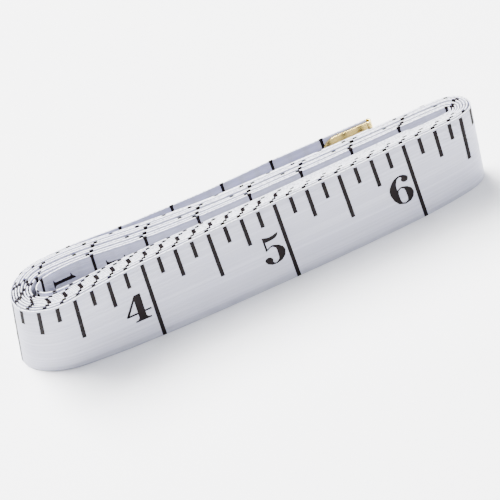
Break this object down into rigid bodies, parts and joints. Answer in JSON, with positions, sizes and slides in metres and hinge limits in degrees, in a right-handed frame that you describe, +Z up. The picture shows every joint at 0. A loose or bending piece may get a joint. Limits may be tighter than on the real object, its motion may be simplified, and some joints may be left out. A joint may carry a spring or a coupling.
{
  "type": "tape measure",
  "caption": "Soft sewing tape measure wound flat into an oblong hank on its edge, with a sprung free tail closed by a folded brass clip.",
  "frame": {"origin": "centre of the hank's box on the surface that it stands on, at the height of the tape's lower edges", "axes": "+X along the hank towards its tight fold, +Y from the outer inch face to the tail side, +Z up across the tape's width"},
  "size_m": [0.0888, 0.0128, 0.02],
  "materials": {
    "tape_vinyl": "cool white vinyl over glass-fibre cloth, satin, with fine lengthwise ribs",
    "clip_brass": "thin pale sheet brass, pressed and polished",
    "scale_ink": "warm charcoal printing ink, thin and matt"
  },
  "bodies": {
    "hank": {"tape_hank": "tape_vinyl"},
    "tail": {"tape_outer_tail": "tape_vinyl", "outer_tip_clip": "clip_brass"}
  },
  "joints": [
    {"name": "tail_lift", "type": "hinge", "parent": "hank", "child": "tail", "pos_m": [-0.0352, 0.00641, 0.01], "axis": [0, 0, 1], "range_deg": [-1.3, 90], "stiffness_Nm_per_rad": 0.001}
  ]
}
